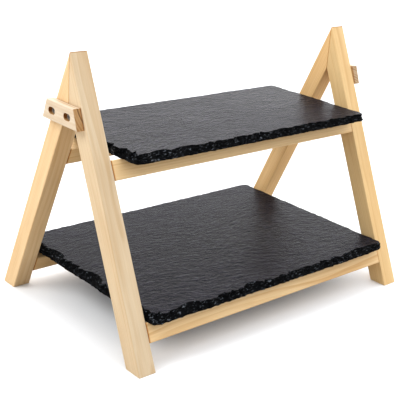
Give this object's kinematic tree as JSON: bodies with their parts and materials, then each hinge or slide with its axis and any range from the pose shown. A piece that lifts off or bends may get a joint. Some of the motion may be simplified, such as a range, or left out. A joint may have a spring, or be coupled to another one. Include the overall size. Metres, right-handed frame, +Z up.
{
  "type": "tiered cake stand",
  "caption": "Tiered serving stand: wooden A-frame ends and rails carry loose slate shelves for cakes and bakes.",
  "frame": {"origin": "on the floor, under the middle of the stand", "axes": "+X along the stand towards the right A-frame, -Y towards the front, +Z up"},
  "size_m": [0.402, 0.2534, 0.285],
  "materials": {
    "pine": "bare, finely sanded",
    "beech": "bare",
    "steel": "dull dark plating",
    "slate": "riven and oiled, with dressed edges"
  },
  "bodies": {
    "frame": {"front_left_leg": "pine", "front_right_leg": "pine", "back_left_leg": "pine", "back_right_leg": "pine", "front_upper_rail": "pine", "front_lower_rail": "pine", "back_upper_rail": "pine", "back_lower_rail": "pine", "left_cleat": "pine", "right_cleat": "pine", "front_upper_left_dowel": "beech", "front_upper_right_dowel": "beech", "front_lower_left_dowel": "beech", "front_lower_right_dowel": "beech", "back_upper_left_dowel": "beech", "back_upper_right_dowel": "beech", "back_lower_left_dowel": "beech", "back_lower_right_dowel": "beech", "left_front_screw": "steel", "left_back_screw": "steel", "right_front_screw": "steel", "right_back_screw": "steel"},
    "upper_slate": {"upper_slate": "slate"},
    "lower_slate": {"lower_slate": "slate"}
  },
  "joints": [
    {"name": "upper_slate_lift", "type": "slide", "parent": "frame", "child": "upper_slate", "axis": [0, 0, 1], "range_m": [0, 0.11]},
    {"name": "lower_slate_pull", "type": "slide", "parent": "frame", "child": "lower_slate", "axis": [0, -1, 0], "range_m": [-0.255, 0.255]}
  ]
}
